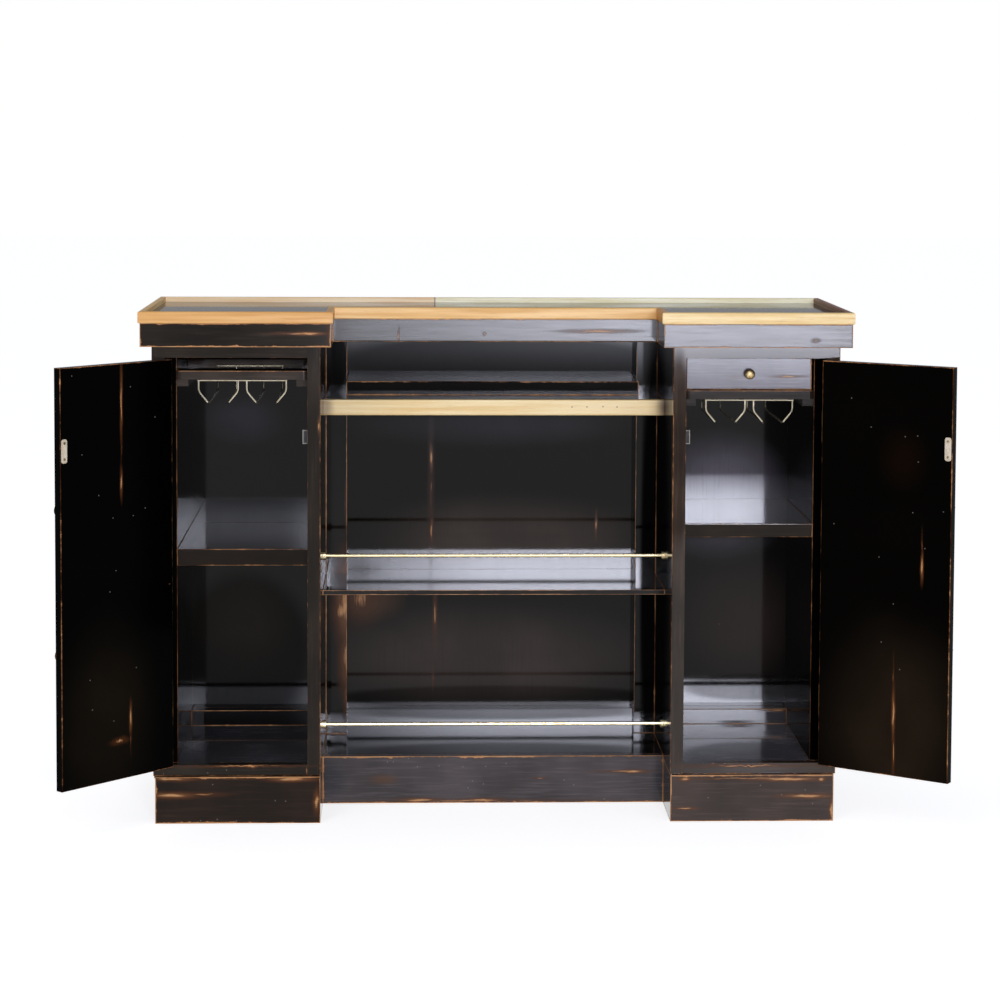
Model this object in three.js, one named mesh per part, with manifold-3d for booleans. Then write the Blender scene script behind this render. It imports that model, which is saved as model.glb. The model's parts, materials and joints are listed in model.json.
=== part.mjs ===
// A breakfront bar cabinet: two pedestals with inset doors, a recessed centre bay and a tray-edged top.
// Millimetres, +Z up. The front faces -Y. The origin is on the floor, mid-width and mid-depth of the
// carcass. Inside the cabinet group y is 0 at the plane of the pedestals' face frames and grows backwards.
import * as THREE from 'three';
import { mergeVertices } from 'three/addons/utils/BufferGeometryUtils.js';
import Module from 'manifold-3d';

const wasm = await Module();
wasm.setup();

// Driving sizes of the carcass
const overallHeight = 1070;
const bodyWidth = 1428;
const bodyDepth = 440;
const pedestalWidth = 348;
const centreRecess = 142;
const topRailHeight = 73; // of a face frame, from the carcass top to the opening

// Clearances
const restGap = 0.3; // between a piece and what it rests in or beside without glue
const doorGap = 1.5; // round a closed door
const overrun = 20; // how far a cutting tool runs past the face that it cuts
const weldTolerance = 0.0001; // corners of a surface that lie closer than this are one corner

// Top: tray edge, panel and the frieze under it
const edgeHeight = 24;
const edgeWidth = 14;
const edgeLip = 11; // how far the edge stands above the panel
const edgeProud = 4; // how far the edge overhangs the frieze
const edgeRound = 4;
const friezeHeight = 49;
const friezeThickness = 22;
const friezeEase = 3;

// Pedestals
const sideThickness = 20;
const innerSideThickness = 27; // flush with the face frame's inner stile
const stileWidth = 27;
const frameThickness = 22;
const frameEase = 1.5;
const bottomRailHeight = 23;
const sideLip = 5; // thickness of the lip by which a side panel laps its plinth
const sideLipDrop = 10;
const floorThickness = 18;
const linerThickness = 28;
const insideSetback = 44; // of the shelves and hinge liners from the face plane
const lowRailDepth = 33;
const lowRailHeight = 34;
const leftShelfTop = 568;
const leftShelfThickness = 35;
const rightShelfTop = 621;
const rightShelfThickness = 29;

// Plinths
const plinthHeight = 98;
const plinthBoard = 18;
const plinthProud = 10;
const plinthInset = 5;
const shelfEase = 2;

// Back
const rearThickness = 20;
const rearFieldDepth = 7; // how far the panelled fields are sunk in the guests' side
const rearStile = 60;
const rearTopRail = 70;
const rearBottomRail = 110;

// Centre bay
const postWidth = 46;
const postDepth = 58;
const backRailHeight = 50;
const bayHeight = 180; // from the counter to the carcass top
const counterThickness = 34;
const counterSetback = 200;
const counterEdgeDepth = 14;
const counterEdgeRound = 3;
const stepThickness = 30;
const stepDepth = 118;
const stepRound = 3;
const midShelfTop = 462;
const midShelfThickness = 10;
const baySetback = 150; // of the middle shelf's ends and of the bay's plinth
const bayFloorTop = 102;
const bayFloorThickness = 18;
const sleeperWidth = 40;
const railDiameter = 8;
const railFlangeDiameter = 18;
const railFlangeThickness = 6;
const railSetback = 160;
const railAboveMidShelf = 73;
const railAboveBayFloor = 68;

// Doors, their hinges and pulls
const doorThickness = 20;
const doorEase = 1.5;
const leftDoorOpen = 134; // degrees from shut, as the object stands
const rightDoorOpen = 145;
const pinDiameter = 8;
const pinStandoff = 0.3;
const hingeHeight = 66;
const hingeLeafThickness = 0.8;
const hingeLeafWidth = 18;
const hingeFromDoorEnd = 138;
const pullSpacing = 292;
const pullCentreHeight = 540;
const pullRosetteDiameter = 28;
const pullRosetteHeight = 8;
const pullFromEdge = 16;
const pullGripDiameter = 9;
const pullStandoff = 28;
const pullBow = 24; // how far the grip bows away from the door's free edge
const pullReachShare = 1.25; // of bow and standoff, where the grip's curve is drawn towards

// Catches and strikes
const catchHeight = 29;
const catchDepth = 22;
const catchWidth = 11;
const catchWall = 2.5;
const catchBelowOpening = 167; // from the opening's top to the catch's middle
const catchBehindDoor = 4;
const magnetClearance = 0.4;
const strikeHeight = 48;
const strikeWidth = 14;
const strikeThickness = 1.5;
const strikeFromEdge = 2;

// Stemware racks: a frame of two cross rails on side cleats, and a bent wire rack under it
const leftRackDrop = 30; // from the opening's top to the rack frame's top
const rightRackDrop = 70;
const rackRailHeight = 18;
const rackRailDepth = 60;
const rackRearRailDepth = 18;
const rackSetback = 30;
const rackRearSpace = 96; // behind the rear rail
const rackRailRound = 10;
const cleatHeight = 15;
const cleatWidth = 24;
const wireDiameter = 4;
const wireChannelMouth = 82;
const wireChannelSlot = 40;
const wireChannelSpace = 18; // between the two channels' mouths
const wireDrop = 48;
const wireChamfer = 25; // the last part of the drop, over which a mouth narrows to its slot
const wireSetback = 10; // from the front rail's front to the wire
const wireRearRise = 55;
const wireBend = 7;

// Drawer
const drawerSideGap = 4.5;
const drawerTopGap = 2;
const drawerUnderGap = 0.4;
const drawerSetback = 46;
const drawerFrontThickness = 16;
const drawerEase = 2;
const drawerRearSpace = 28; // behind the pushed-in drawer
const drawerBoxHeight = 50;
const drawerBoard = 10;
const drawerBottomThickness = 6;
const knobDiameter = 22;
const knobLength = 21;
const knobNeckDiameter = 10;
const knobNeckLength = 6;
const knobWaistShare = 0.8; // of the neck where it meets the ball

// Worked out from the sizes above
const half = 0.5;
const bodyX = bodyWidth * half;
const innerX = bodyX - pedestalWidth; // the pedestals' faces towards the centre bay
const carcassTop = overallHeight - edgeHeight;
const openingTop = carcassTop - topRailHeight;
const counterTop = carcassTop - bayHeight;
const rearFront = bodyDepth - rearThickness;
const openingInner = innerX + stileWidth;
const openingOuter = bodyX - stileWidth;
const openingBottom = plinthHeight + bottomRailHeight;
const linerX = bodyX - sideThickness - linerThickness; // a pedestal's inside runs from innerWallX to linerX
const innerWallX = innerX + innerSideThickness;
const floorTop = plinthHeight + floorThickness;
const catchCentre = openingTop - catchBelowOpening;
const rightRackTop = openingTop - rightRackDrop; // the drawer runs on it
const postX = innerX - postWidth; // the posts' faces towards the middle
const postFront = rearFront - postDepth;

// Colours and finishes
const finish = (color, roughness, metalness) => () =>
  new THREE.MeshStandardMaterial({ color, roughness, metalness });
const blackPaint = finish(0x1b1917, 0.3, 0);
const honeyWood = finish(0xd8a765, 0.45, 0);
const brass = finish(0xc9a862, 0.3, 1);
const paleBrass = finish(0xd9cba4, 0.4, 0.8);
const blackIron = finish(0x1a1a1c, 0.5, 0.6);
const steelWire = finish(0xb8b2a2, 0.35, 0.9);
const ivoryPlastic = finish(0xd8cfb8, 0.5, 0);
const darkMagnet = finish(0x2a2a2c, 0.5, 0.5);

const armoire = new THREE.Group();
const cabinet = new THREE.Group();
cabinet.position.y = -bodyDepth * half;
armoire.add(cabinet);

function addMesh(parent, name, geometry, material) {
  const mesh = new THREE.Mesh(geometry, material());
  mesh.name = name;
  parent.add(mesh);
  return mesh;
}

// A span measured outwards from the middle, as [low x, high x] on the left (-1) or the right (1)
const spanX = (side, inner, outer) => (side < 0 ? [-outer, -inner] : [inner, outer]);

function outline(points) {
  return new THREE.Shape(points.map(([x, y]) => new THREE.Vector2(x, y)));
}

function rectangle([x0, x1], [y0, y1]) {
  return outline([[x0, y0], [x1, y0], [x1, y1], [x0, y1]]);
}

// A rectangle whose corners are rounded by the radii given from low-left, going round anticlockwise
function roundedRectangle([x0, x1], [y0, y1], [r0, r1, r2, r3]) {
  const shape = new THREE.Shape();
  shape.moveTo(x0 + r0, y0);
  shape.lineTo(x1 - r1, y0);
  if (r1) shape.quadraticCurveTo(x1, y0, x1, y0 + r1);
  shape.lineTo(x1, y1 - r2);
  if (r2) shape.quadraticCurveTo(x1, y1, x1 - r2, y1);
  shape.lineTo(x0 + r3, y1);
  if (r3) shape.quadraticCurveTo(x0, y1, x0, y1 - r3);
  shape.lineTo(x0, y0 + r0);
  if (r0) shape.quadraticCurveTo(x0, y0, x0 + r0, y0);
  return shape;
}

function extrude(shape, depth, curveSegments) {
  return new THREE.ExtrudeGeometry(shape, { depth, bevelEnabled: false, curveSegments });
}

// A plan shape raised from z0 to z1
function raise(shape, [z0, z1]) {
  return extrude(shape, z1 - z0, 4).translate(0, 0, z0);
}

// A front shape (x, z) carried back from y0 to y1
function carryBack(shape, [y0, y1]) {
  return extrude(shape, y1 - y0, 4).rotateX(Math.PI / 2).translate(0, y1, 0);
}

// An end shape (y, z) carried across from x0 to x1
function carryAcross(shape, [x0, x1]) {
  const geometry = extrude(shape, x1 - x0, 4);
  return geometry.rotateZ(Math.PI / 2).rotateY(Math.PI / 2).translate(x0, 0, 0);
}

function block([x0, x1], [y0, y1], [z0, z1]) {
  const geometry = new THREE.BoxGeometry(x1 - x0, y1 - y0, z1 - z0);
  return geometry.translate((x0 + x1) * half, (y0 + y1) * half, (z0 + z1) * half);
}

// A board whose faces' arrises are eased: its outline in the front plane is inset by a bevel at both faces
function easedBoard([x0, x1], [y0, y1], [z0, z1], ease) {
  const shape = rectangle([x0 + ease, x1 - ease], [z0 + ease, z1 - ease]);
  const geometry = new THREE.ExtrudeGeometry(shape, {
    depth: y1 - y0 - ease - ease,
    bevelEnabled: true,
    bevelThickness: ease,
    bevelSize: ease,
    bevelSegments: 1,
  });
  return geometry.rotateX(Math.PI / 2).translate(0, y1 - ease, 0);
}

function toSolid(geometry) {
  const bare = geometry.clone();
  bare.deleteAttribute('normal');
  bare.deleteAttribute('uv');
  const merged = mergeVertices(bare, weldTolerance);
  const index = merged.index.array;
  return new wasm.Manifold(new wasm.Mesh({
    numProp: 3,
    vertProperties: new Float32Array(merged.attributes.position.array),
    triVerts: new Uint32Array(index),
  }));
}

function toGeometry(solid) {
  const mesh = solid.getMesh();
  const geometry = new THREE.BufferGeometry();
  geometry.setAttribute('position', new THREE.BufferAttribute(mesh.vertProperties, 3));
  geometry.setIndex(new THREE.BufferAttribute(mesh.triVerts, 1));
  geometry.computeVertexNormals();
  return geometry;
}

const joined = (geometries) => toGeometry(geometries.map(toSolid).reduce((all, one) => all.add(one)));
const cut = (geometry, tools) =>
  toGeometry(tools.map(toSolid).reduce((left, tool) => left.subtract(tool), toSolid(geometry)));
const common = (one, other) => toGeometry(toSolid(one).intersect(toSolid(other)));

// A rod through corner points whose bends are rounded
class BentRod extends THREE.Curve {
  constructor(corners, bend) {
    super();
    const points = [corners[0]];
    for (let i = 1; i < corners.length - 1; i += 1) {
      const before = new THREE.Vector3().subVectors(corners[i - 1], corners[i]);
      const after = new THREE.Vector3().subVectors(corners[i + 1], corners[i]);
      const reach = Math.min(bend, before.length() * half, after.length() * half);
      const start = before.setLength(reach).add(corners[i]);
      const end = after.setLength(reach).add(corners[i]);
      const arc = new THREE.QuadraticBezierCurve3(start, corners[i], end);
      points.push(...arc.getPoints(3));
    }
    points.push(corners[corners.length - 1]);
    this.points = points;
  }

  getPoint(t) {
    const place = Math.min(t * (this.points.length - 1), this.points.length - 1);
    const low = Math.min(Math.floor(place), this.points.length - 2);
    return this.points[low].clone().lerp(this.points[low + 1], place - low);
  }

  getPointAt(u) {
    return this.getPoint(u);
  }

  getTangentAt(u) {
    const last = this.points.length - 1;
    const at = Math.round(u * last);
    const ahead = this.points[Math.min(at + 1, last)];
    const behind = this.points[Math.max(at - 1, 0)];
    return new THREE.Vector3().subVectors(ahead, behind).normalize();
  }
}

function circle(radius, sides) {
  const turn = (2 * Math.PI) / sides;
  const points = [];
  for (let i = 0; i < sides; i += 1) {
    points.push([radius * Math.cos(i * turn), radius * Math.sin(i * turn)]);
  }
  return outline(points);
}

function rod(corners, diameter, bend, sides) {
  const path = new BentRod(corners.map(([x, y, z]) => new THREE.Vector3(x, y, z)), bend);
  const steps = path.points.length - 1;
  return new THREE.ExtrudeGeometry(circle(diameter * half, sides), { steps, extrudePath: path });
}

// A turned piece about +Z from [radius, height] pairs that start and end on the axis
function turned(profile, segments) {
  const points = profile.map(([r, z]) => new THREE.Vector2(r, z));
  return new THREE.LatheGeometry(points, segments).rotateX(Math.PI / 2);
}

// Top. The plan outline runs anticlockwise, so a stick's inside lies to the left of its direction.
function topOutline(overhang) {
  const x = bodyX + overhang;
  const step = innerX - overhang;
  const front = -overhang;
  const recess = centreRecess - overhang;
  const rear = bodyDepth + overhang;
  return [
    [-x, front], [-step, front], [-step, recess], [step, recess],
    [step, front], [x, front], [x, rear], [-x, rear],
  ];
}

function buildTop() {
  const outer = topOutline(friezeThickness + edgeProud);
  const inner = topOutline(friezeThickness + edgeProud - edgeWidth);
  addMesh(cabinet, 'top_panel', raise(outline(inner), [carcassTop, overallHeight - edgeLip]), blackPaint);
  const names = [
    'edge_front_left', 'edge_return_left', 'edge_front_centre', 'edge_return_right',
    'edge_front_right', 'edge_side_right', 'edge_back', 'edge_side_left',
  ];
  // the stick's section: x runs inwards from its outer face, y runs up
  const softer = edgeRound * half;
  const section = roundedRectangle([0, edgeWidth], [0, edgeHeight], [softer, 0, softer, edgeRound]);
  names.forEach((name, i) => {
    const j = (i + 1) % outer.length;
    const start = new THREE.Vector3(outer[i][0], outer[i][1], 0);
    const end = new THREE.Vector3(outer[j][0], outer[j][1], 0);
    const along = new THREE.Vector3().subVectors(end, start).normalize();
    const inward = new THREE.Vector3(-along.y, along.x, 0);
    const stick = extrude(section, start.distanceTo(end) + overrun + overrun, 3);
    const place = new THREE.Matrix4().makeBasis(inward, new THREE.Vector3(0, 0, 1), along);
    place.setPosition(start.addScaledVector(along, -overrun).setZ(carcassTop));
    stick.applyMatrix4(place);
    const mitred = outline([outer[i], outer[j], inner[j], inner[i]]);
    const prism = raise(mitred, [carcassTop - overrun, overallHeight + overrun]);
    addMesh(cabinet, name, common(stick, prism), honeyWood);
  });
}

function buildFrieze() {
  const z = [carcassTop - friezeHeight, carcassTop];
  const t = friezeThickness;
  for (const [label, side] of [['left', -1], ['right', 1]]) {
    const x = bodyX + t;
    const step = innerX - t;
    const plan = [
      [step, -t], [x, -t], [x, bodyDepth + t], [bodyX, bodyDepth + t],
      [bodyX, 0], [innerX, 0], [innerX, centreRecess], [step, centreRecess],
    ];
    const shape = outline(plan.map(([px, py]) => [px * side, py]));
    addMesh(cabinet, `frieze_${label}`, raise(shape, z), blackPaint);
  }
  const centre = roundedRectangle([centreRecess - t, centreRecess], z, [friezeEase, 0, 0, 0]);
  addMesh(cabinet, 'frieze_centre', carryAcross(centre, [-(innerX - t), innerX - t]), blackPaint);
  const back = roundedRectangle([bodyDepth, bodyDepth + t], z, [0, friezeEase, 0, 0]);
  addMesh(cabinet, 'frieze_back', carryAcross(back, [-bodyX, bodyX]), blackPaint);
}

// One guests' side panel closes the back of the whole carcass and has three sunk fields
function buildRearPanel() {
  const fieldZ = [rearBottomRail, carcassTop - friezeHeight - rearTopRail];
  const stileHalf = rearStile * half;
  const fields = [
    [-bodyX + rearStile, -innerX - stileHalf],
    [-innerX + stileHalf, innerX - stileHalf],
    [innerX + stileHalf, bodyX - rearStile],
  ];
  const depthY = [bodyDepth - rearFieldDepth, bodyDepth + overrun];
  const tools = fields.map((field) => block(field, depthY, fieldZ));
  const board = block([-bodyX, bodyX], [rearFront, bodyDepth], [0, carcassTop]);
  addMesh(cabinet, 'rear_panel', cut(board, tools), blackPaint);
}

function buildPedestal(label, side, shelfTop, shelfThickness) {
  const x = (inner, outer) => spanX(side, inner, outer);
  const insideY = [frameThickness, rearFront];

  // the outer side panel laps the plinth with a thin lip
  const laps = [
    [bodyX - sideThickness, plinthHeight], [bodyX - sideLip, plinthHeight],
    [bodyX - sideLip, plinthHeight - sideLipDrop], [bodyX, plinthHeight - sideLipDrop],
    [bodyX, carcassTop], [bodyX - sideThickness, carcassTop],
  ];
  const lapped = outline(laps.map(([px, pz]) => [px * side, pz]));
  addMesh(cabinet, `${label}_outer_side`, carryBack(lapped, insideY), blackPaint);
  addMesh(cabinet, `${label}_inner_side`,
    block(x(innerX, innerWallX), insideY, [plinthHeight, carcassTop]), blackPaint);

  // stiles and rails, glued up as one frame
  const frame = easedBoard(x(innerX, bodyX), [0, frameThickness], [plinthHeight, carcassTop], frameEase);
  const window = block(x(openingInner, openingOuter), [-overrun, frameThickness + overrun],
    [openingBottom, openingTop]);
  addMesh(cabinet, `${label}_face_frame`, cut(frame, [window]), blackPaint);

  addMesh(cabinet, `${label}_floor`,
    block(x(innerWallX, bodyX - sideThickness), insideY, [plinthHeight, floorTop]), blackPaint);
  addMesh(cabinet, `${label}_hinge_liner`,
    easedLiner(x(linerX, bodyX - sideThickness), [floorTop, carcassTop]), blackPaint);
  const shelf = roundedRectangle([insideSetback, rearFront], [shelfTop - shelfThickness, shelfTop],
    [shelfEase, 0, 0, shelfEase]);
  addMesh(cabinet, `${label}_shelf`, carryAcross(shelf, x(innerWallX, linerX)), blackPaint);
  addMesh(cabinet, `${label}_low_rail`,
    block(x(innerWallX, linerX), [rearFront - lowRailDepth, rearFront],
      [floorTop, floorTop + lowRailHeight]), blackPaint);

  // the plinth: a front board and two side boards, open to the back panel
  const outer = bodyX - plinthInset;
  const plan = [
    [innerX, -plinthProud], [outer, -plinthProud], [outer, rearFront], [outer - plinthBoard, rearFront],
    [outer - plinthBoard, plinthBoard - plinthProud], [innerX + plinthBoard, plinthBoard - plinthProud],
    [innerX + plinthBoard, rearFront], [innerX, rearFront],
  ];
  const shape = outline(plan.map(([px, py]) => [px * side, py]));
  addMesh(cabinet, `${label}_plinth`, raise(shape, [0, plinthHeight]), blackPaint);
}

function easedLiner([x0, x1], z) {
  const plan = roundedRectangle([x0, x1], [insideSetback, rearFront], [frameEase, frameEase, 0, 0]);
  return raise(plan, z);
}

// Two cross rails on side cleats. Where a drawer runs above, the cleats stand up to the rails' top
// as bearers.
function buildRack(label, side, top, bearsDrawer) {
  const [x0, x1] = spanX(side, innerWallX + restGap, linerX - restGap);
  const railZ = [top - rackRailHeight, top];
  const rear = rearFront - rackRearSpace;
  const rearRailFront = rear - rackRearRailDepth;
  const frontRailY = [rackSetback, rackSetback + rackRailDepth];
  const frontRail = raise(
    roundedRectangle([x0, x1], frontRailY, [rackRailRound, rackRailRound, 0, 0]),
    railZ,
  );
  const rearRail = block([x0, x1], [rearRailFront, rear], railZ);
  const cleatY = [rackSetback + rackRailRound, rear];
  const cleatZ = [railZ[0] - cleatHeight, bearsDrawer ? top : railZ[0]];
  const cleats = [[x0, x0 + cleatWidth], [x1 - cleatWidth, x1]].map((x) => block(x, cleatY, cleatZ));
  addMesh(cabinet, `${label}_rack_frame`, joined([frontRail, rearRail, ...cleats]), blackPaint);

  // the wire rack: a front bar under the front rail, four ledge wires and a rear bar against the rear rail
  const r = wireDiameter * half;
  const middle = (x0 + x1) * half;
  const barZ = railZ[0] - r - restGap;
  const frontY = rackSetback + wireSetback;
  const rearY = rearRailFront - r - restGap;
  const ledgeZ = barZ - wireDrop;
  const mouthInner = wireChannelSpace * half;
  const barHalf = mouthInner + wireChannelMouth;
  const channelX = (mouthInner + barHalf) * half;
  const slotOuter = channelX + wireChannelSlot * half;
  const slotInner = channelX - wireChannelSlot * half;
  const wires = [
    [-barHalf, -slotOuter], [-mouthInner, -slotInner], [mouthInner, slotInner], [barHalf, slotOuter],
  ];
  const rods = wires.map(([mouth, slot]) => rod([
    [middle + mouth, frontY, barZ],
    [middle + mouth, frontY, ledgeZ + wireChamfer],
    [middle + slot, frontY, ledgeZ],
    [middle + slot, rearY, ledgeZ],
    [middle + slot, rearY, ledgeZ + wireRearRise],
  ], wireDiameter, wireBend, 8));
  const frontBar = rod([[middle - barHalf - r, frontY, barZ], [middle + barHalf + r, frontY, barZ]],
    wireDiameter, 0, 8);
  const rearBar = rod([
    [middle - slotOuter - r, rearY, ledgeZ + wireRearRise],
    [middle + slotOuter + r, rearY, ledgeZ + wireRearRise],
  ], wireDiameter, 0, 8);
  addMesh(cabinet, `${label}_wire_rack`, joined([frontBar, rearBar, ...rods]), steelWire);
}

// A door hangs in a group whose origin is its hinge pin, built shut and then turned open
function buildDoor(label, side, openDegrees) {
  const pin = new THREE.Vector3(
    side * (openingOuter - doorGap * half),
    -(pinDiameter * half + pinStandoff),
    0,
  );
  const hung = new THREE.Group();
  hung.position.copy(pin);
  hung.rotation.z = side * THREE.MathUtils.degToRad(openDegrees);
  cabinet.add(hung);
  const hang = (name, geometry, material) =>
    addMesh(hung, name, geometry.translate(-pin.x, -pin.y, 0), material);

  const freeX = openingInner + doorGap;
  const hingeX = openingOuter - doorGap;
  const doorZ = [openingBottom + doorGap, openingTop - doorGap];
  const board = easedBoard(spanX(side, freeX, hingeX), [0, doorThickness], doorZ, doorEase);
  hang(`${label}_door`, board, blackPaint);

  // two butt hinges: the barrel stands proud of the front and its leaf lies on the door's edge
  for (const [place, middle] of [
    ['lower', doorZ[0] + hingeFromDoorEnd],
    ['upper', doorZ[1] - hingeFromDoorEnd],
  ]) {
    const z = [middle - hingeHeight * half, middle + hingeHeight * half];
    const barrel = raise(circle(pinDiameter * half, 12), z).translate(pin.x, pin.y, 0);
    const leafX = hingeX + (doorGap - hingeLeafThickness) * half;
    const leaf = block(spanX(side, leafX, leafX + hingeLeafThickness), [pin.y, hingeLeafWidth], z);
    hang(`${label}_hinge_${place}`, joined([barrel, leaf]), brass);
  }

  // the pull: two domed rosettes and a grip that bows out and away from the free edge
  const pullX = side * (freeX + pullFromEdge);
  const ends = [pullCentreHeight - pullSpacing * half, pullCentreHeight + pullSpacing * half];
  const dome = [
    [0, 0], [pullRosetteDiameter * half, 0], [pullRosetteDiameter * half, pullRosetteHeight * half],
    [pullGripDiameter, pullRosetteHeight], [0, pullRosetteHeight],
  ];
  const rosettes = ends.map((z) => turned(dome, 16).rotateX(Math.PI / 2).translate(pullX, -restGap, z));
  const gripStart = -pullRosetteHeight * half;
  const gripOut = (gripStart - pullStandoff) * pullReachShare;
  const gripX = pullX + side * pullBow * pullReachShare;
  const grip = new THREE.CubicBezierCurve3(
    new THREE.Vector3(pullX, gripStart, ends[0]),
    new THREE.Vector3(gripX, gripOut, ends[0] + pullRosetteDiameter),
    new THREE.Vector3(gripX, gripOut, ends[1] - pullRosetteDiameter),
    new THREE.Vector3(pullX, gripStart, ends[1]),
  );
  const section = circle(pullGripDiameter * half, 8);
  const bar = new THREE.ExtrudeGeometry(section, { steps: 18, extrudePath: grip });
  hang(`${label}_door_pull`, joined([...rosettes, bar]), blackIron);

  // the strike plate, screwed inside the free edge
  const strikeX = freeX + strikeFromEdge;
  const strikeFront = doorThickness + restGap;
  hang(`${label}_strike`, block(
    spanX(side, strikeX, strikeX + strikeWidth),
    [strikeFront, strikeFront + strikeThickness],
    [catchCentre - strikeHeight * half, catchCentre + strikeHeight * half],
  ), paleBrass);
}

// A magnetic catch: an open-fronted case on the inner side, with a magnet pack that floats in it
function buildCatch(label, side) {
  const front = doorThickness + catchBehindDoor;
  const z = [catchCentre - catchHeight * half, catchCentre + catchHeight * half];
  const caseX = [innerWallX, innerWallX + catchWidth];
  const pocket = catchWall - magnetClearance;
  const shell = block(spanX(side, ...caseX), [front, front + catchDepth], z);
  const hollow = block(
    spanX(side, caseX[0] + pocket, caseX[1] - pocket),
    [front - overrun, front + catchDepth - pocket],
    [z[0] + pocket, z[1] - pocket],
  );
  addMesh(cabinet, `${label}_catch_case`, cut(shell, [hollow]), ivoryPlastic);
  addMesh(cabinet, `${label}_catch_magnet`, block(
    spanX(side, caseX[0] + catchWall, caseX[1] - catchWall),
    [front, front + catchDepth - catchWall],
    [z[0] + catchWall, z[1] - catchWall],
  ), darkMagnet);
}

function buildDrawer(side) {
  const x = spanX(side, innerWallX + drawerSideGap, linerX - drawerSideGap);
  const bottom = rightRackTop + drawerUnderGap;
  const frontZ = [bottom, openingTop - drawerTopGap];
  const back = drawerSetback + drawerFrontThickness;
  addMesh(cabinet, 'drawer_front', easedBoard(x, [drawerSetback, back], frontZ, drawerEase), blackPaint);
  const boxY = [back, rearFront - drawerRearSpace];
  const tray = block(x, boxY, [bottom, bottom + drawerBoxHeight]);
  const inside = block(
    [x[0] + drawerBoard, x[1] - drawerBoard],
    [boxY[0] + drawerBoard, boxY[1] - drawerBoard],
    [bottom + drawerBottomThickness, bottom + drawerBoxHeight + overrun],
  );
  addMesh(cabinet, 'drawer_box', cut(tray, [inside]), honeyWood);

  // the knob: a neck and a flattened ball, turned about its screw
  const waist = knobNeckDiameter * half * knobWaistShare;
  const profile = [[0, 0], [knobNeckDiameter * half, 0], [waist, knobNeckLength]];
  const ballHalf = (knobLength - knobNeckLength) * half;
  for (let i = 1; i < 8; i += 1) {
    const angle = (i / 8) * Math.PI;
    const radius = knobDiameter * half * Math.sin(angle);
    const height = knobLength - ballHalf - ballHalf * Math.cos(angle);
    if (radius > waist) profile.push([radius, height]);
  }
  profile.push([0, knobLength]);
  const knob = turned(profile, 16).rotateX(Math.PI / 2);
  const middle = [(x[0] + x[1]) * half, (frontZ[0] + frontZ[1]) * half];
  addMesh(cabinet, 'drawer_knob', knob.translate(middle[0], drawerSetback, middle[1]), brass);
}

// A board between the pedestals, notched round the two posts at the back
function notchedBoard(front, z) {
  const notchX = postX - restGap;
  const notchY = postFront - restGap;
  const plan = [
    [-innerX, front], [innerX, front], [innerX, notchY], [notchX, notchY],
    [notchX, rearFront], [-notchX, rearFront], [-notchX, notchY], [-innerX, notchY],
  ];
  return raise(outline(plan), z);
}

function buildCounter() {
  const z = [counterTop - counterThickness, counterTop];
  const boardFront = counterSetback + counterEdgeDepth;
  addMesh(cabinet, 'counter', notchedBoard(boardFront, z), blackPaint);
  const nosing = roundedRectangle([counterSetback, boardFront], z,
    [counterEdgeRound, 0, 0, counterEdgeRound]);
  addMesh(cabinet, 'counter_edge', carryAcross(nosing, [-innerX, innerX]), honeyWood);
  const stepX = postX - restGap;
  const step = roundedRectangle([rearFront - stepDepth, rearFront],
    [counterTop, counterTop + stepThickness], [0, 0, 0, stepRound]);
  addMesh(cabinet, 'counter_step', carryAcross(step, [-stepX, stepX]), blackPaint);
}

// A brass rail between the pedestals, with a flange at each end
function buildRail(name, z) {
  const length = (innerX - restGap) * 2;
  const r = railDiameter * half;
  const flange = railFlangeDiameter * half;
  const profile = [
    [0, 0], [flange, 0], [flange, railFlangeThickness], [r, railFlangeThickness],
    [r, length - railFlangeThickness], [flange, length - railFlangeThickness],
    [flange, length], [0, length],
  ];
  const rail = turned(profile, 12).rotateY(Math.PI / 2).translate(-length * half, railSetback, z);
  addMesh(cabinet, name, rail, paleBrass);
}

function buildCentreBay() {
  const acrossX = [-innerX, innerX];
  buildCounter();
  const shelfZ = [midShelfTop - midShelfThickness, midShelfTop];
  addMesh(cabinet, 'centre_shelf', notchedBoard(baySetback, shelfZ), blackPaint);

  // the bottom shelf lies behind the plinth's front board, on a sleeper that runs to the back
  const boardBack = baySetback + plinthBoard;
  const underside = bayFloorTop - bayFloorThickness;
  const bottomShelf = block(acrossX, [boardBack, rearFront], [underside, bayFloorTop]);
  addMesh(cabinet, 'bottom_shelf', bottomShelf, blackPaint);
  const board = block(acrossX, [baySetback, boardBack], [0, bayFloorTop]);
  const sleeperHalf = sleeperWidth * half;
  const sleeper = block([-sleeperHalf, sleeperHalf], [baySetback, rearFront], [0, underside]);
  addMesh(cabinet, 'centre_plinth', joined([board, sleeper]), blackPaint);

  // two posts and the rail between their feet
  const posts = [[-innerX, -postX], [postX, innerX]]
    .map((x) => block(x, [postFront, rearFront], [bayFloorTop, carcassTop]));
  const backRail = block(acrossX, [rearFront - lowRailDepth, rearFront],
    [bayFloorTop, bayFloorTop + backRailHeight]);
  addMesh(cabinet, 'back_frame', joined([...posts, backRail]), blackPaint);

  buildRail('rail_upper', midShelfTop + railAboveMidShelf);
  buildRail('rail_lower', bayFloorTop + railAboveBayFloor);
}

buildTop();
buildFrieze();
buildRearPanel();
buildCentreBay();
buildPedestal('left', -1, leftShelfTop, leftShelfThickness);
buildPedestal('right', 1, rightShelfTop, rightShelfThickness);
buildRack('left', -1, openingTop - leftRackDrop, false);
buildRack('right', 1, rightRackTop, true);
buildCatch('left', -1);
buildCatch('right', 1);
buildDoor('left', -1, leftDoorOpen);
buildDoor('right', 1, rightDoorOpen);
buildDrawer(1);

export default armoire;
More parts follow.
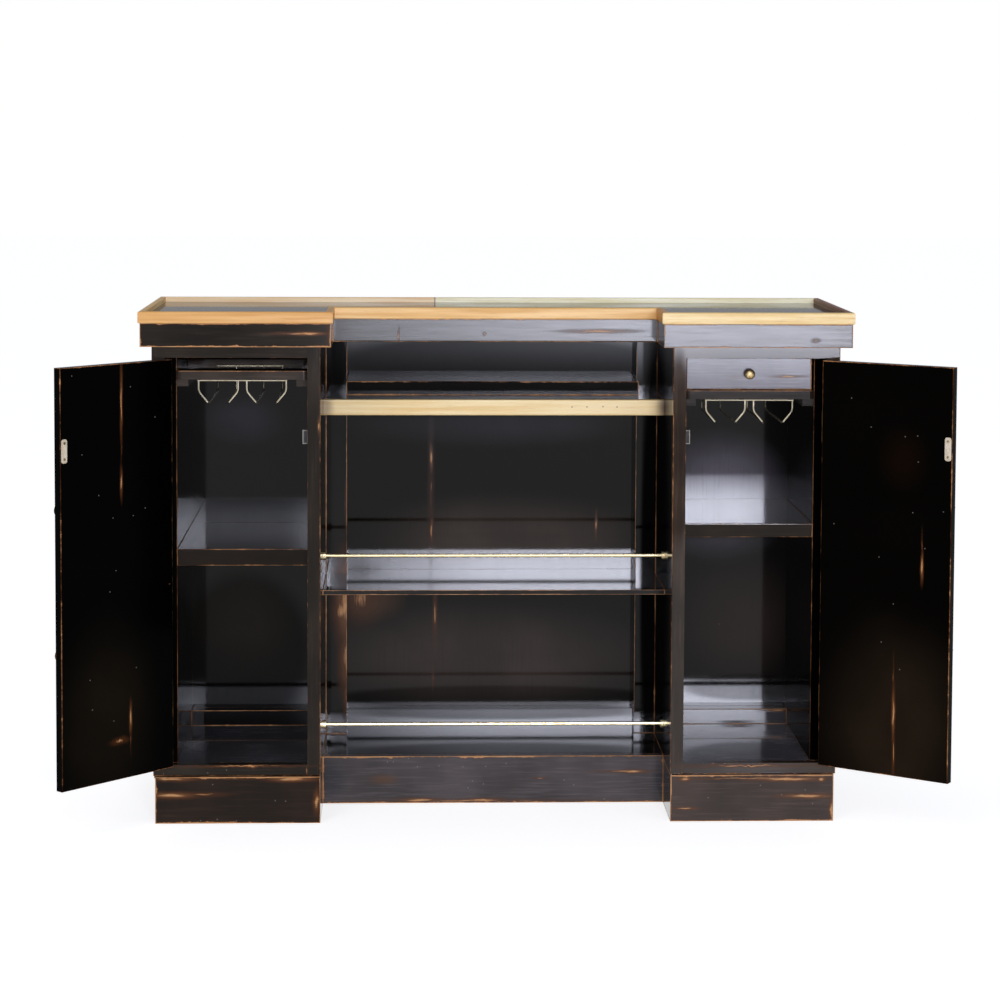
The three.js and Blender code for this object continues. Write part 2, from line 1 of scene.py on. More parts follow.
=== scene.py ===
"""Looks of a breakfront bar cabinet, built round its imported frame.

Metres, +Z up, and the front faces -Y. A pixel is one of the photograph's 1000 by 1000."""
import json
import math

import bmesh
import bpy
from mathutils import Matrix, Vector


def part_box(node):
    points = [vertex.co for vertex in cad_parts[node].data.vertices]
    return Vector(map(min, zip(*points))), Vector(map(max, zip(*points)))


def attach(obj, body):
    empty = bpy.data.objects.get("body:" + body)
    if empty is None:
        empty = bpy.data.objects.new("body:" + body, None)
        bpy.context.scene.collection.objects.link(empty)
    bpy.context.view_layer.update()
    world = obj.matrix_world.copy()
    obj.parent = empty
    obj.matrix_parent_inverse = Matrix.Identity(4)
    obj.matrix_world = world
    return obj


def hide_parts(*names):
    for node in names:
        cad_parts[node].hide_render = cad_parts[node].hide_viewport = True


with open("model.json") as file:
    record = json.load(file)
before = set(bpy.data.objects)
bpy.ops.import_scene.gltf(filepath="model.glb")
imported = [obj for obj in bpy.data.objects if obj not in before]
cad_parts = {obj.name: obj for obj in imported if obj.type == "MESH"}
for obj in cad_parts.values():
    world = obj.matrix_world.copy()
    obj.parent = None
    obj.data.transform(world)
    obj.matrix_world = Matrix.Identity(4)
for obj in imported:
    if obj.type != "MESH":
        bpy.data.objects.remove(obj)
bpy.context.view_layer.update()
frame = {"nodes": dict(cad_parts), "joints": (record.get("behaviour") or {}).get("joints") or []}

MM = 0.001

# The photograph's camera: where it stood, how it leaned and its frame in pixels
CAMERA_PLACE = (-0.1804, -5.6478, 1.4446)
CAMERA_LEAN = (0.0645, 0.0044, 0.0338)  # radians about the side, viewing and upright axes
FOCAL_PIXELS = 2631.3
PRINCIPAL_PIXEL = (500, 300)
FRAME_PIXELS = 1000
SENSOR_MM = 36
CLIP_END = 60

JOINTS = {joint["name"]: joint for joint in frame["joints"]}


def camera_axes():
    """The camera's right, forward and up directions."""
    side, roll, turn = CAMERA_LEAN
    lean_side = Matrix(((1, 0, 0), (0, math.cos(side), -math.sin(side)),
                        (0, math.sin(side), math.cos(side))))
    lean_roll = Matrix(((math.cos(roll), 0, math.sin(roll)), (0, 1, 0),
                        (-math.sin(roll), 0, math.cos(roll))))
    lean_turn = Matrix(((math.cos(turn), -math.sin(turn), 0),
                        (math.sin(turn), math.cos(turn), 0), (0, 0, 1)))
    return [Vector(row) for row in lean_side @ lean_roll @ lean_turn]


def camera():
    """The photograph's camera, whose shift keeps upright lines nearly parallel."""
    right, forward, up = camera_axes()
    data = bpy.data.cameras.new("camera")
    data.sensor_width = SENSOR_MM
    data.lens = FOCAL_PIXELS / FRAME_PIXELS * SENSOR_MM
    data.shift_x = 0.5 - PRINCIPAL_PIXEL[0] / FRAME_PIXELS
    data.shift_y = PRINCIPAL_PIXEL[1] / FRAME_PIXELS - 0.5
    data.clip_end = CLIP_END
    seen = bpy.data.objects.new("camera", data)
    bpy.context.scene.collection.objects.link(seen)
    turned = Matrix((right, up, -forward)).transposed().to_4x4()
    seen.matrix_world = Matrix.Translation(CAMERA_PLACE) @ turned
    bpy.context.scene.camera = seen


# Places on the object

def shut_turn(side):
    """The pin of a door and the turn that takes it from its rest back to shut."""
    joint = JOINTS[f"{side}_door_hinge"]
    return tuple(joint["pos_m"]), math.radians(joint["range_deg"][0] * joint["axis"][2])


def shut_matrix(side):
    """What turns a door from its rest back to shut."""
    pin, radians = shut_turn(side)
    turn = Matrix.Rotation(radians, 4, "Z")
    return Matrix.Translation(pin) @ turn @ Matrix.Translation(-Vector(pin))


def corners_of(points):
    """The lowest and highest corners of the box round some points."""
    return tuple(tuple(pick(p[i] for p in points) for i in range(3)) for pick in (min, max))


def shut_box(node, side):
    """A node's box with its door shut."""
    back = shut_matrix(side)
    return corners_of([back @ v.co for v in frame["nodes"][node].data.vertices])


def node_box(node):
    """A node's box, for a door's pieces as they lie with the door shut."""
    if node.endswith(("_door", "_strike")):
        return shut_box(node, node.split("_")[0])
    return tuple(tuple(corner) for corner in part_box(node))


def seen_at(node, u, v):
    """Where a pixel of the photograph falls on the node's side that the photograph shows."""
    right, forward, up = camera_axes()
    start = Vector(CAMERA_PLACE)
    across, down = (p - middle for p, middle in zip((u, v), PRINCIPAL_PIXEL))
    ray = forward + right * (across / FOCAL_PIXELS) - up * (down / FOCAL_PIXELS)
    low, high = node_box(node)
    axis, level = 1, low[1]
    if node.endswith("_door"):
        back = shut_matrix(node.split("_")[0])
        start, ray, level = back @ start, back.to_3x3() @ ray, high[1]
    elif node.endswith(("_floor", "_shelf")):
        axis, level = 2, high[2]
    return start + ray * ((level - start[axis]) / ray[axis])


MARK_DEPTH = 6 * MM
MARK_LEAST = 0.5 * MM
FLAT = 0.1 * MM


def seen_box(node, u0, v0, u1, v1, depth=MARK_DEPTH):
    """Middle and half size of what a box of pixels covers on a node."""
    low, high = corners_of([seen_at(node, u, v) for u in (u0, u1) for v in (v0, v1)])
    middle = tuple((a + b) / 2 for a, b in zip(low, high))
    half = tuple(max((b - a) / 2, depth if b - a < FLAT else MARK_LEAST)
                 for a, b in zip(low, high))
    return middle, half


# Shader helpers

SEED_SHARES = (1.0, 0.7, 1.3)  # how far a seed moves the noise along each axis


class Shader:
    """A material under construction, with short calls for the nodes of its tree."""

    def __init__(self, name):
        self.material = bpy.data.materials.new(name)
        self.material.use_nodes = True
        self.tree = self.material.node_tree
        self.tree.nodes.clear()
        self.output = self.add("ShaderNodeOutputMaterial")
        self.bsdf = self.add("ShaderNodeBsdfPrincipled")
        self.put(self.output.inputs["Surface"], self.bsdf.outputs["BSDF"])
        self.place = self.add("ShaderNodeTexCoord").outputs["Object"]

    def add(self, kind, **settings):
        made = self.tree.nodes.new(kind)
        for key, value in settings.items():
            setattr(made, key, value)
        return made

    def put(self, socket, value):
        if isinstance(value, bpy.types.NodeSocket):
            self.tree.links.new(value, socket)
        else:
            socket.default_value = value

    def set(self, **values):
        for key, value in values.items():
            self.put(self.bsdf.inputs[key.replace("_", " ")], value)

    def math(self, operation, *values):
        made = self.add("ShaderNodeMath", operation=operation)
        for socket, value in zip(made.inputs, values):
            self.put(socket, value)
        return made.outputs[0]

    def vector(self, operation, *values):
        made = self.add("ShaderNodeVectorMath", operation=operation)
        for socket, value in zip(made.inputs, values):
            self.put(socket, value)
        return made.outputs["Value" if operation in ("LENGTH", "DISTANCE") else "Vector"]

    def parts(self, vector):
        made = self.add("ShaderNodeSeparateXYZ")
        self.put(made.inputs[0], vector)
        return made.outputs[0], made.outputs[1], made.outputs[2]

    def noise(self, vector, scale, detail, roughness=0.5, output="Fac"):
        made = self.add("ShaderNodeTexNoise")
        self.put(made.inputs["Vector"], vector)
        for key, number in (("Scale", scale), ("Detail", detail), ("Roughness", roughness)):
            made.inputs[key].default_value = number
        return made.outputs[output]

    def cells(self, vector, scale):
        """Distance to the middle of the nearest of scattered cells, and its random numbers."""
        made = self.add("ShaderNodeTexVoronoi", feature="F1")
        self.put(made.inputs["Vector"], vector)
        made.inputs["Scale"].default_value = scale
        return made.outputs["Distance"], self.parts(made.outputs["Color"])

    def remap(self, value, low, high, to_low=0.0, to_high=1.0, smooth=True):
        ease = "SMOOTHSTEP" if smooth else "LINEAR"
        made = self.add("ShaderNodeMapRange", interpolation_type=ease)
        for key, number in zip(("Value", "From Min", "From Max", "To Min", "To Max"),
                               (value, low, high, to_low, to_high)):
            self.put(made.inputs[key], number)
        return made.outputs[0]

    def mix(self, factor, one, other):
        made = self.add("ShaderNodeMix", data_type="RGBA")
        for socket, value in zip((0, 6, 7), (factor, one, other)):
            self.put(made.inputs[socket], value)
        return made.outputs[2]

    def blend(self, factor, one, other):
        made = self.add("ShaderNodeMix", data_type="FLOAT")
        for socket, value in zip((0, 2, 3), (factor, one, other)):
            self.put(made.inputs[socket], value)
        return made.outputs[0]

    def bump(self, height, strength, distance):
        made = self.add("ShaderNodeBump")
        self.put(made.inputs["Height"], height)
        made.inputs["Strength"].default_value = strength
        made.inputs["Distance"].default_value = distance
        self.put(self.bsdf.inputs["Normal"], made.outputs[0])

    def turn(self, pin, radians):
        """Reads the surface as it lies when its door is turned back shut about its pin."""
        made = self.add("ShaderNodeVectorRotate", rotation_type="Z_AXIS")
        self.put(made.inputs["Vector"], self.place)
        made.inputs["Center"].default_value = pin
        made.inputs["Angle"].default_value = radians
        self.place = made.outputs[0]

    def along_grain(self, axis, squeeze, seed):
        """Places for noise, moved by a seed: plain ones, and ones squeezed along the grain.

        The squeeze of each axis comes last."""
        squeezed = tuple(squeeze if name == axis else 1.0 for name in "xyz")
        shifted = self.vector("ADD", self.place, tuple(seed * share for share in SEED_SHARES))
        return shifted, self.vector("MULTIPLY", shifted, squeezed), squeezed

    def partly(self, shifted, squeezed, share):
        """Places that are squeezed by only a share."""
        return self.vector("MULTIPLY", shifted, tuple(1 - share + share * k for k in squeezed))

    def apart(self, middle, half):
        """Distance from the middle of an ellipsoid, which is 1 on its surface."""
        scale = tuple(1 / h for h in half)
        offset = tuple(-m * k for m, k in zip(middle, scale))
        return self.vector("LENGTH", self.vector("MULTIPLY_ADD", self.place, scale, offset))

    def within(self, middle, half, inner, strength):
        """strength inside a share of an ellipsoid, and nothing outside it."""
        return self.remap(self.apart(middle, half), inner, 1.0, strength, 0.0)

    def nearest(self, points):
        """Distance to the nearest of some points."""
        nearest = 1.0
        for point in points:
            away = self.vector("DISTANCE", self.place, point)
            nearest = self.math("MINIMUM", nearest, away)
        return nearest

    def box_edge(self, low, high):
        """Distance from a point on a box's surface to the box's nearest edge."""
        inward = self.vector("MINIMUM", self.vector("SUBTRACT", self.place, tuple(low)),
                             self.vector("SUBTRACT", tuple(high), self.place))
        x, y, z = self.parts(inward)
        least, most = self.math("MINIMUM", x, y), self.math("MAXIMUM", x, y)
        return self.math("MAXIMUM", least, self.math("MINIMUM", most, z))

    def hole_edge(self, low, high):
        """Distance to the nearest edge of an opening through a board that lies in the XZ plane."""
        middle = tuple((a + b) / 2 for a, b in zip(low, high))
        half = tuple((b - a) / 2 for a, b in zip(low, high))
        away = self.vector("ABSOLUTE", self.vector("SUBTRACT", self.place, middle))
        x, y, z = self.parts(self.vector("SUBTRACT", away, half))
        across = self.math("ABSOLUTE", self.math("MAXIMUM", x, z))
        return self.math("MAXIMUM", across, self.math("ABSOLUTE", y))


WHITE, BLACK_TINT = (1, 1, 1, 1), (0, 0, 0, 1)


def colour(red, green, blue):
    """A screen colour, 0 to 255, as the linear values that a shader takes."""
    linear = [(c / 255 / 12.92) if c <= 10 else ((c / 255 + 0.055) / 1.055) ** 2.4
              for c in (red, green, blue)]
    return (*linear, 1)


def shade(tone, share):
    """A screen colour made darker or lighter by a share."""
    return colour(*(min(c * share, 255) for c in tone))


# Noises: their scale to a metre, their octaves and how rough these make them. Their values lie
# mostly between 0.3 and 0.7, and each remap picks the range in which a tone or width changes.
CLOUDS = (6, 3, 0.5)
BRUSH_STROKES = (230, 4, 0.62)
WOOD_FIBRES = (900, 2, 0.6)
SLOW_WEAR = (9, 2, 0.6)
RAGGED_WEAR = (60, 3, 0.65)
FINE_WEAR = (500, 3, 0.7)
WANDER = (70, 3, 0.5)
HONEY_BANDS = (130, 3, 0.55)
HONEY_FIBRES = (800, 3, 0.6)
HONEY_CLOUDS = (5, 2, 0.5)

# Paint: how far places are squeezed along the grain, which draws its noise out, and how its tone
# and its gloss vary, as shares of them
PAINT_SQUEEZE = 0.045
DARKER, LIGHTER = 0.8, 1.15
FADE_DARKER, FADE_LIGHTER = 0.9, 1.1
STROKE_LIGHTER = 2.2
GLOSS_LEAST, GLOSS_MOST = 0.85, 1.3
FADE_CORE, DULL_CORE = 0.15, 0.7  # the share of a fade or dull place that has its full strength
BARE_DEEP, BARE_PALE, BARE_RED = colour(168, 112, 68), colour(226, 178, 124), colour(196, 140, 90)
STAINED, CHIPPED = colour(84, 48, 26), colour(196, 186, 174)
BARE_ROUGHNESS = 0.55

# Wear of the arrises: its least and greatest width, what ragged and fine noise add, and its edge
WORN_WIDTH = (0.9 * MM, 1.9 * MM)
RAGGED_WIDTH = 2.6 * MM
FINE_WIDTH = (-0.25 * MM, 0.35 * MM)
WORN_EDGE = (-1.5 * MM, 1.1 * MM)
WORN_STRENGTH = (0.6, 0.95)

# Rubbed marks: how far their outlines wander across and along the grain, how torn they are and
# their halo, between shares of the mark's own size
WANDER_ACROSS, WANDER_ALONG = 5 * MM, 11 * MM
WANDER_SQUEEZE = 0.6
TORN, RUBBED_MOST = 0.3, 0.95
HALO_REACH = (0.5, 2.0)
HALO_STRENGTH = 0.4

# Flecks, in cells of which only those past a chance have one, and chips
FLECKS_PER_METRE, FLECK_CHANCE, FLECK_SIZE, FLECK_STRENGTH = 24, 0.92, 0.03, 0.5
FLECK_SQUEEZE = 0.5
CHIP_EDGE = (0.5 * MM, 1.9 * MM)
CHIP_STRENGTH = 0.28
STROKE_HEIGHT = 0.3  # of the paint's depth
PAINT_DEPTH = 0.2 * MM


def rubbed_marks(s, rubs, shifted, squeezed, fine):
    """How far the paint is rubbed away at worn marks, whose outlines wander."""
    straight = s.place
    wandering = s.noise(s.partly(shifted, squeezed, WANDER_SQUEEZE), *WANDER, output="Color")
    sideways = s.vector("SUBTRACT", wandering, (0.5, 0.5, 0.5))
    spread = tuple(WANDER_ACROSS * k + WANDER_ALONG * (k < 1) for k in squeezed)
    s.place = s.vector("ADD", straight, s.vector("MULTIPLY", sideways, spread))
    near, halo = 0.0, 0.0
    for middle, half, strength in rubs:
        away = s.apart(middle, half)
        mark = s.remap(away, 0.0, 1.0, strength, 0.0)
        near = s.math("MAXIMUM", near, mark)
        ring = s.remap(away, *HALO_REACH, HALO_STRENGTH * strength, 0.0)
        halo = s.math("MAXIMUM", halo, ring)
    s.place = straight
    torn = s.math("ADD", near, s.remap(fine, 0.25, 0.75, -TORN, TORN, False))
    rubbed = s.math("MULTIPLY", s.remap(torn, 0.0, 1.0, 0.0, RUBBED_MOST),
                    s.remap(near, 0.0, 0.25))
    return s.math("MAXIMUM", rubbed, halo)


def black_paint(name, grain, box, holes, turned, tone, shine, gloss, relief, wear, streaks, rubs,
                dots, light_and_tones, dulled_in_shade, seed):
    """Black paint brushed on wood and rubbed through at the edges.

    grain is the axis that the wood runs along. box and holes are the piece and its openings,
    whose arrises are worn. tone is the piece's tone as lit, with light and shade painted in.
    rubs are worn places and dots are chips. The places with another tone are mostly painted
    sheen, reflection and shade, and the places that shine less are painted shade."""
    s = Shader(name)
    if turned:
        s.turn(*turned)
    shifted, along, squeezed = s.along_grain(grain, PAINT_SQUEEZE, seed)
    for low, high in holes:
        # the rails above and below an opening have their grain across
        x = s.parts(s.place)[0]
        off_middle = s.math("ABSOLUTE", s.math("SUBTRACT", x, (low[0] + high[0]) / 2))
        in_rail = s.math("LESS_THAN", off_middle, (high[0] - low[0]) / 2)
        across = s.vector("MULTIPLY", shifted, tuple(reversed(squeezed)))
        along = s.mix(in_rail, along, across)
    brush = s.noise(along, *BRUSH_STROKES)
    fibre = s.noise(along, *WOOD_FIBRES)

    clouded = s.remap(s.noise(shifted, *CLOUDS), 0.35, 0.7)
    paint = s.mix(clouded, shade(tone, DARKER), shade(tone, LIGHTER))
    # other tones of the paint, most of them painted sheen, reflection and shade
    for middle, half, patch_tone, strength in light_and_tones:
        near = s.within(middle, half, FADE_CORE, strength)
        other = s.mix(clouded, shade(patch_tone, FADE_DARKER), shade(patch_tone, FADE_LIGHTER))
        paint = s.mix(near, paint, other)
    paint = s.mix(s.remap(brush, 0.46, 0.8, 0, streaks), paint, shade(tone, STROKE_LIGHTER))

    # bare wood where the arrises are rubbed
    slow = s.noise(shifted, *SLOW_WEAR)
    ragged = s.noise(shifted, *RAGGED_WEAR)
    fine = s.noise(along, *FINE_WEAR)
    width = s.math("ADD", s.remap(slow, 0.35, 0.7, *WORN_WIDTH),
                   s.remap(ragged, 0.45, 0.85, 0, RAGGED_WIDTH))
    width = s.math("MULTIPLY", width, wear)
    width = s.math("ADD", width, s.remap(fine, 0.3, 0.8, *FINE_WIDTH))
    nearest = s.box_edge(*box)
    for low, high in holes:
        nearest = s.math("MINIMUM", nearest, s.hole_edge(low, high))
    bare = s.remap(s.math("SUBTRACT", width, nearest), *WORN_EDGE)
    bare = s.math("MULTIPLY", bare, s.remap(slow, 0.3, 0.6, *WORN_STRENGTH))

    # worn marks at their places, and scattered flecks
    if rubs:
        bare = s.math("MAXIMUM", bare, rubbed_marks(s, rubs, shifted, squeezed, fine))
    away, chances = s.cells(s.partly(shifted, squeezed, FLECK_SQUEEZE), FLECKS_PER_METRE)
    size = s.remap(chances[0], FLECK_CHANCE, 1.0, 0.0, FLECK_SIZE, False)
    fleck = s.math("LESS_THAN", away, size)
    bare = s.math("MAXIMUM", bare, s.math("MULTIPLY", fleck, FLECK_STRENGTH))

    wood = s.mix(s.remap(fibre, 0.3, 0.7), BARE_DEEP, BARE_PALE)
    wood = s.mix(s.remap(ragged, 0.35, 0.65), wood, BARE_RED)
    stained = s.mix(s.remap(bare, 0.0, 0.5), paint, STAINED)
    surface = s.mix(s.remap(bare, 0.25, 0.95), stained, wood)
    if dots:
        chip = s.remap(s.nearest(dots), *CHIP_EDGE, CHIP_STRENGTH, 0.0)
        surface = s.mix(chip, surface, CHIPPED)
    glossy = s.remap(brush, 0.3, 0.8, gloss * GLOSS_LEAST, gloss * GLOSS_MOST)
    s.set(Base_Color=surface, Roughness=s.blend(bare, glossy, BARE_ROUGHNESS))
    s.bsdf.inputs["Specular IOR Level"].default_value = shine
    # painted shade: the reflection is lessened where the paint lies in shadow
    if dulled_in_shade:
        gleam = WHITE
        for middle, half, strength in dulled_in_shade:
            gleam = s.mix(s.within(middle, half, DULL_CORE, strength), gleam, BLACK_TINT)
        s.set(Specular_Tint=gleam)
    height = s.math("SUBTRACT", s.math("MULTIPLY", brush, STROKE_HEIGHT), bare)
    s.bump(height, relief, PAINT_DEPTH)
    return s.material


# Clear wood: how far places are squeezed along the grain, its pores, knots, smudges and holes
HONEY_SQUEEZE = 0.035
PORES, KNOTS, SMUDGED = colour(170, 116, 60), colour(92, 54, 24), colour(74, 34, 20)
PORE_STRENGTH, CLOUD_STRENGTH, KNOT_STRENGTH = 0.4, 0.4, 0.6
SMUDGE_CORE = 0.2
PIN_HOLES, JOINT_LINE = colour(110, 64, 30), colour(110, 74, 44)
PIN_HOLE_STRENGTH, JOINT_STRENGTH = 0.7, 0.75
RED_BOARD_LIGHT, RED_BOARD_DARK = colour(255, 226, 170), colour(250, 206, 146)
KNOTS_PER_METRE, KNOT_SQUEEZE = 20, 0.6
KNOT_EDGE = (0.03, 0.07)
PIN_HOLE_EDGE = (1.0 * MM, 2.4 * MM)
JOINT_EDGE = (0.8 * MM, 2.4 * MM)
WAXED_ROUGHNESS = (0.34, 0.5)
WOOD_RELIEF, WOOD_DEPTH = 0.2, 0.2 * MM


def honey_wood(name, grain, light, dark, seed, smudges, dots, joint, shine):
    """Clear waxed wood with long grain, darker pores and a few pin knots.

    joint is where a redder board meets it."""
    s = Shader(name)
    shifted, along, squeezed = s.along_grain(grain, HONEY_SQUEEZE, seed)
    bands = s.noise(along, *HONEY_BANDS)
    banded = s.remap(bands, 0.32, 0.68)
    fibre = s.noise(along, *HONEY_FIBRES)
    cloud = s.noise(shifted, *HONEY_CLOUDS)
    wood = s.mix(banded, light, dark)
    wood = s.mix(s.remap(fibre, 0.5, 0.8, 0, PORE_STRENGTH), wood, PORES)
    wood = s.mix(s.remap(cloud, 0.4, 0.75, 0, CLOUD_STRENGTH), wood, light)
    away, chances = s.cells(s.partly(shifted, squeezed, KNOT_SQUEEZE), KNOTS_PER_METRE)
    knot = s.remap(away, *KNOT_EDGE, 1, 0)
    wanted = s.math("MULTIPLY", s.remap(chances[1], 0.8, 0.85), KNOT_STRENGTH)
    wood = s.mix(s.math("MULTIPLY", knot, wanted), wood, KNOTS)
    for middle, half, strength in smudges:
        wood = s.mix(s.within(middle, half, SMUDGE_CORE, strength), wood, SMUDGED)
    if dots:
        hole = s.remap(s.nearest(dots), *PIN_HOLE_EDGE, PIN_HOLE_STRENGTH, 0.0)
        wood = s.mix(hole, wood, PIN_HOLES)
    if joint is not None:
        beyond = s.math("SUBTRACT", joint, s.parts(s.place)["xyz".index(grain)])
        redder = s.mix(banded, RED_BOARD_LIGHT, RED_BOARD_DARK)
        wood = s.mix(s.math("GREATER_THAN", beyond, 0.0), wood, redder)
        line = s.remap(s.math("ABSOLUTE", beyond), *JOINT_EDGE, JOINT_STRENGTH, 0.0)
        wood = s.mix(line, wood, JOINT_LINE)
    s.set(Base_Color=wood, Roughness=s.remap(bands, 0.3, 0.7, *WAXED_ROUGHNESS))
    s.bsdf.inputs["Specular IOR Level"].default_value = shine
    s.bump(fibre, WOOD_RELIEF, WOOD_DEPTH)
    return s.material


RIM_EDGE = (1.2 * MM, 2.4 * MM)
POLISH_LEAST, POLISH_MOST = 0.8, 1.3
PITS_FINER = 14
PIT_RELIEF, PIT_DEPTH = 0.15, 0.1 * MM


def metal(name, light, dark, roughness, scale=90.0, metallic=1.0, box=None, rim=None):
    """Metal or moulding whose tone and polish wander a little, with fine pits.

    rim colours the edges of a box."""
    s = Shader(name)
    cloud = s.noise(s.place, scale, 3)
    pits = s.noise(s.place, scale * PITS_FINER, 2)
    clouded = s.remap(cloud, 0.3, 0.7)
    tone = s.mix(clouded, colour(*light), colour(*dark))
    if rim:
        tone = s.mix(s.remap(s.box_edge(*box), *RIM_EDGE, 1.0, 0.0), tone, colour(*rim))
    polish = s.remap(cloud, 0.3, 0.7, roughness * POLISH_LEAST, roughness * POLISH_MOST)
    s.set(Base_Color=tone, Roughness=polish)
    s.bsdf.inputs["Metallic"].default_value = metallic
    s.bump(pits, PIT_RELIEF, PIT_DEPTH)
    return s.material


def dress(node, material):
    """Gives a CAD node its material."""
    data = frame["nodes"][node].data
    data.materials.clear()
    data.materials.append(material)


# Black pieces: the axis of the grain, the paint's tone as lit, with light and shade painted in, how
# strongly it shines and how rough it is
SATIN, GLOSSY = 0.1, 0.06
# One black paint throughout, whose tone is set piece by piece to how lit each looks; the pale
# lavender-grey floors and drawer front are painted reflection
BLACK_TONES_AS_LIT = {
    "left_face_frame": ("z", (45, 38, 31), 0.12, SATIN),
    "right_face_frame": ("z", (56, 45, 37), 0.34, GLOSSY),
    "left_outer_side": ("z", (7, 6, 5), 0.01, SATIN),
    "left_inner_side": ("z", (7, 6, 5), 0.05, SATIN),
    "right_outer_side": ("z", (3, 3, 3), 0.005, SATIN),
    "right_inner_side": ("z", (6, 5, 5), 0.05, SATIN),
    "left_hinge_liner": ("z", (7, 6, 5), 0.01, SATIN),
    "right_hinge_liner": ("z", (3, 3, 3), 0.005, SATIN),
    "left_floor": ("x", (70, 70, 74), 0.12, GLOSSY),
    "right_floor": ("x", (96, 93, 99), 0.7, GLOSSY),
    "left_shelf": ("x", (30, 22, 15), 0.12, GLOSSY),
    "right_shelf": ("x", (36, 28, 20), 0.17, GLOSSY),
    "left_low_rail": ("x", (6, 5, 4), 0.04, GLOSSY),
    "right_low_rail": ("x", (20, 18, 19), 0.15, GLOSSY),
    "left_plinth": ("x", (41, 30, 23), 0.12, SATIN),
    "right_plinth": ("x", (65, 53, 48), 0.3, SATIN),
    "left_rack_frame": ("x", (60, 52, 46), 0.12, SATIN),
    "right_rack_frame": ("x", (40, 32, 26), 0.12, SATIN),
    "left_door": ("z", (2, 2, 2), 0.01, SATIN),
    "right_door": ("z", (4, 3, 2), 0.01, SATIN),
    "frieze_left": ("x", (35, 30, 24), 0.12, SATIN),
    "frieze_right": ("x", (46, 40, 38), 0.45, SATIN),
    "frieze_centre": ("x", (36, 31, 28), 0.45, SATIN),
    "frieze_back": ("x", (36, 31, 28), 0.12, SATIN),
    "counter": ("x", (34, 32, 34), 0.3, GLOSSY),
    "counter_step": ("x", (6, 5, 4), 0.05, GLOSSY),
    "centre_shelf": ("x", (20, 16, 15), 0.3, GLOSSY),
    "bottom_shelf": ("x", (20, 18, 18), 0.25, GLOSSY),
    "centre_plinth": ("x", (71, 64, 65), 0.3, SATIN),
    "rear_panel": ("z", (5, 4, 3), 0.2, GLOSSY),
    "top_panel": ("x", (40, 36, 33), 0.05, GLOSSY),
    "back_frame": ("z", (4, 4, 4), 0.2, GLOSSY),
    "drawer_front": ("x", (90, 86, 94), 0.52, SATIN),
}

# Worn marks, as boxes of photograph pixels (left, top, right, bottom) and how far they are rubbed
RUBS = {
    "left_door": (
        (120.3, 364, 122.3, 440, 0.9), (120.8, 430, 121.8, 466, 0.45),
        (120.2, 468, 122.4, 498, 0.85), (129.4, 704, 132.0, 731, 1.0),
        (130.2, 726, 131.4, 752, 0.5), (112, 739.4, 128, 742.6, 0.7),
    ),
    "right_door": (
        (920.8, 553, 923.2, 581, 1.0), (921.4, 530, 922.6, 560, 0.45),
        (892.1, 688, 894.5, 740, 1.0), (892.4, 720, 894.2, 781, 0.7),
        (892.6, 658, 894.0, 695, 0.45), (814.0, 604, 816.0, 664, 0.5),
    ),
    "left_face_frame": (
        (175, 765.0, 309, 767.4, 0.7), (244, 764.6, 259, 768.2, 1.0),
        (305.8, 766, 307.2, 777, 0.8), (163.2, 771, 164.6, 777, 0.7),
        (317.6, 418, 320.6, 433, 0.9),
    ),
    "right_face_frame": (
        (680, 764.8, 813, 767.0, 0.75), (681.1, 769.5, 682.5, 777.5, 0.8),
        (821.0, 772.0, 823.0, 778, 0.7),
    ),
    "left_plinth": (
        (147, 777.0, 199, 781.4, 0.9), (159, 776.4, 171, 781.6, 1.0),
        (268, 776.2, 315, 781.6, 1.0), (190, 777.8, 275, 779.6, 0.45),
        (147, 792.2, 196, 798.6, 1.0), (180, 792.6, 228, 796.6, 0.6), (150, 788, 155.0, 801, 1.0),
        (313.5, 790, 320, 813, 0.9), (150, 782, 153.4, 825, 0.6),
    ),
    "right_plinth": (
        (678, 776.4, 691, 781.2, 1.0), (668, 777.4, 825, 779.4, 0.65),
        (748, 776.8, 826, 781.2, 1.0), (818, 776.6, 826, 782, 1.0), (780, 793.6, 835, 798.4, 1.0),
        (670, 807.2, 700, 809.8, 0.85), (829.4, 795, 834, 826, 0.9),
        (760, 819.6, 824, 825.6, 0.75), (668.6, 782, 671.6, 824, 0.6),
    ),
    "centre_plinth": (
        (595, 770.0, 653, 772.8, 0.7), (618, 769.8, 648, 773.0, 1.0),
        (532, 776.6, 548, 779.4, 0.5), (396, 798.0, 444, 802.4, 0.9),
        (458, 798.0, 505, 802.4, 0.9), (350, 799.2, 598, 802.0, 0.55),
    ),
    "back_frame": (
        (336, 560, 360, 642, 1.0), (340, 626, 357, 694, 0.9), (344, 670, 353, 722, 0.8),
        (345.5, 480, 351.5, 530, 0.8), (326, 732, 355, 735, 0.6), (333, 596, 350, 626, 0.8),
    ),
    "rear_panel": (
        (428, 430, 433.8, 546, 0.36), (429.6, 446, 432.8, 470, 0.9), (430.4, 520, 432.9, 541, 0.9),
        (595.0, 513, 597.2, 537, 0.8), (433, 588, 437.2, 640, 0.65), (432.0, 668, 433.8, 688, 0.6),
        # painted glow, shown as rubbed paint: the broad patch on this line
        (343, 574, 378, 620, 0.62),
    ),
    "counter_step": ((492, 370.5, 498.5, 379.5, 0.8),),
    "frieze_left": (
        (268, 332.0, 332, 335.2, 0.75), (291, 331.8, 327, 335.6, 1.0), (326.5, 323, 334, 348, 0.6),
    ),
    "frieze_centre": (
        (397.6, 329.5, 399.4, 342.5, 0.9), (482.6, 332.4, 485.6, 335.6, 0.8),
        (568, 329.8, 630, 332.8, 0.95),
    ),
    "drawer_front": ((772, 375.4, 806, 378.2, 0.8), (728, 376, 744, 379, 0.4)),
    "frieze_right": ((812.5, 338.5, 819.5, 343, 0.6),),
    "right_low_rail": ((766, 709.2, 788, 711.8, 0.9),),
    "right_floor": ((725, 724.6, 751, 727.4, 0.6),),
}

